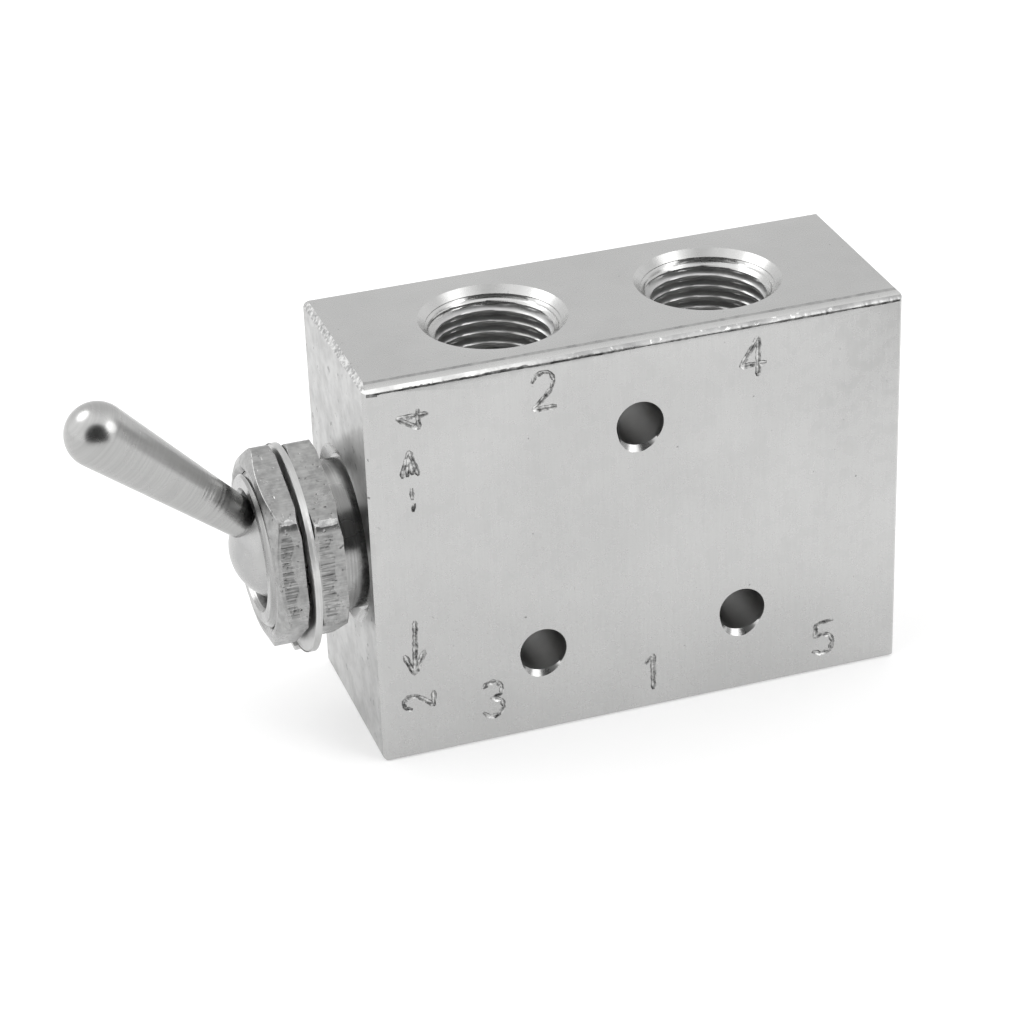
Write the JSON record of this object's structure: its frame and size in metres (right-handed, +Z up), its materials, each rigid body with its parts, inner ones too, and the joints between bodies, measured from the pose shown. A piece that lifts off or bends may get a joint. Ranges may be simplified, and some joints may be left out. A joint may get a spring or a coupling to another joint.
{
  "type": "toggle lever valve",
  "caption": "Rectangular metal valve block with a toggle lever in a threaded nose, ports above and below and cross holes for screws.",
  "frame": {"origin": "midway between the two lower mounting holes, on the block's middle plane", "axes": "+X along the spool away from the lever, +Y along the mounting holes towards the back, +Z up to the outlet ports"},
  "size_m": [0.0623, 0.0162, 0.0316],
  "materials": {
    "block_nickel": "satin nickel plate with fine milling marks",
    "turned_nickel": "turned and nickel plated",
    "nut_nickel": "nickel plate over rough drawn flats",
    "lever_nickel": "polished tip and satin shank, nickel plated",
    "spring_steel": "bright spring steel",
    "pin_steel": "ground steel",
    "spool_brass": "turned brass",
    "ring_rubber": "black nitrile rubber"
  },
  "bodies": {
    "housing": {"valve_body": "block_nickel", "bushing": "turned_nickel", "inner_nut": "nut_nickel", "outer_nut": "nut_nickel", "lock_washer": "spring_steel", "pivot_pin": "pin_steel", "rod_seal_left": "ring_rubber", "rod_seal_right": "ring_rubber", "gland_washer_left": "spool_brass", "gland_washer_right": "spool_brass", "bushing_seal": "ring_rubber", "end_plug": "spool_brass", "end_plug_seal": "ring_rubber", "retaining_ring": "spring_steel"},
    "lever": {"toggle_lever": "lever_nickel", "drive_pin": "pin_steel"},
    "spool": {"spool": "spool_brass", "spool_fork": "pin_steel", "land_ring_left": "ring_rubber", "land_ring_right": "ring_rubber"}
  },
  "joints": [
    {"name": "lever_tilt", "type": "hinge", "parent": "housing", "child": "lever", "pos_m": [-0.02565, 0, 0.0088], "axis": [0, 1, 0], "range_deg": [-84, 0]},
    {"name": "spool_slide", "type": "slide", "parent": "housing", "child": "spool", "axis": [1, 0, 0], "range_m": [-0.00402, 0]}
  ],
  "couplings": [
    {"joint": "spool_slide", "follows": "lever_tilt", "m_per_rad": 0.0027384}
  ]
}
